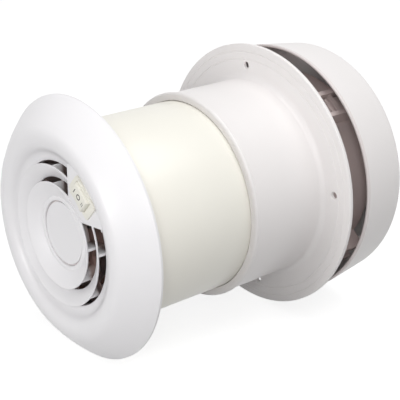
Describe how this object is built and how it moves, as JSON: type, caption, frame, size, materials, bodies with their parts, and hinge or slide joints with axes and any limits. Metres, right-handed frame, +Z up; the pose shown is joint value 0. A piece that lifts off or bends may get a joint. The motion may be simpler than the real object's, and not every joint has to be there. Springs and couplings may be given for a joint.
{
  "type": "roof vent with fan",
  "caption": "Mushroom roof vent with a flanged pipe, a domed cap and a round ceiling grille on a sliding pipe, with an extractor fan and a three position rocker switch.",
  "frame": {"origin": "centre of the underside of the roof flange, where it sits on the roof", "axes": "+Z up along the vent from the ceiling grille to the cap, +X and +Y through two neighbouring screw holes of the flange"},
  "size_m": [0.181, 0.181, 0.227],
  "materials": {
    "white_abs": "satin moulded ABS",
    "grille_abs": "satin moulded ABS",
    "cream_abs": "satin extruded ABS, slightly cream",
    "brown_grey_abs": "satin moulded ABS, light brown grey",
    "black_rubber": "matt rubber",
    "white_rubber": "soft white rubber",
    "switch_ivory": "smooth moulded",
    "brown_fan": "satin moulded, dark brown",
    "natural_nylon": "plain moulded nylon",
    "steel": "zinc plated",
    "ferrite": "sintered, dark grey",
    "brass": "plain brass",
    "copper": "copper segments",
    "laminated_iron": "stacked sheet iron, wound",
    "ceramic": "lacquered ceramic body",
    "brown_sleeve": "soft PVC sleeve",
    "black_sleeve": "soft PVC sleeve",
    "grey_sleeve": "soft PVC sleeve"
  },
  "bodies": {
    "roof_unit": {"roof_pipe": "white_abs", "roof_flange": "white_abs", "roof_collar": "brown_grey_abs", "roof_cap": "white_abs", "insect_screen": "brown_grey_abs", "mouth_seal": "white_rubber"},
    "ceiling_unit": {"sliding_pipe": "cream_abs", "ceiling_ring": "grille_abs", "louvre_grille": "grille_abs", "ring_spigot": "grille_abs", "centre_cap": "grille_abs", "pipe_screws": "steel", "cable_grommet": "black_rubber", "switch_body": "switch_ivory", "rocker_pin": "steel", "switch_terminals": "brass", "speed_resistor": "ceramic", "terminal_block": "natural_nylon", "terminal_screws": "brass", "motor_bracket": "brown_fan", "bracket_screws": "steel", "motor_sleeve": "black_rubber", "motor_end_cap": "natural_nylon", "motor_can": "steel", "motor_magnets": "ferrite", "motor_bushes": "brass", "motor_brushes": "copper", "motor_terminals": "brass", "supply_lead": "brown_sleeve", "return_lead": "black_sleeve", "switched_lead": "grey_sleeve"},
    "fan_rotor": {"motor_shaft": "steel", "motor_armature": "laminated_iron", "motor_commutator": "copper", "fan_impeller": "brown_fan", "fan_nut": "steel"},
    "rocker": {"switch_rocker": "switch_ivory"}
  },
  "joints": [
    {"name": "telescope", "type": "slide", "parent": "roof_unit", "child": "ceiling_unit", "axis": [0, 0, 1], "range_m": [-0.012, 0.072]},
    {"name": "fan_spin", "type": "hinge", "parent": "ceiling_unit", "child": "fan_rotor", "pos_m": [0, 0, -0.12], "axis": [0, 0, 1], "continuous": true},
    {"name": "rocker_tilt", "type": "hinge", "parent": "ceiling_unit", "child": "rocker", "pos_m": [-0.03391, 0.0311, -0.15645], "axis": [-0.7501, 0.6613, 0], "range_deg": [-10, 10]}
  ]
}
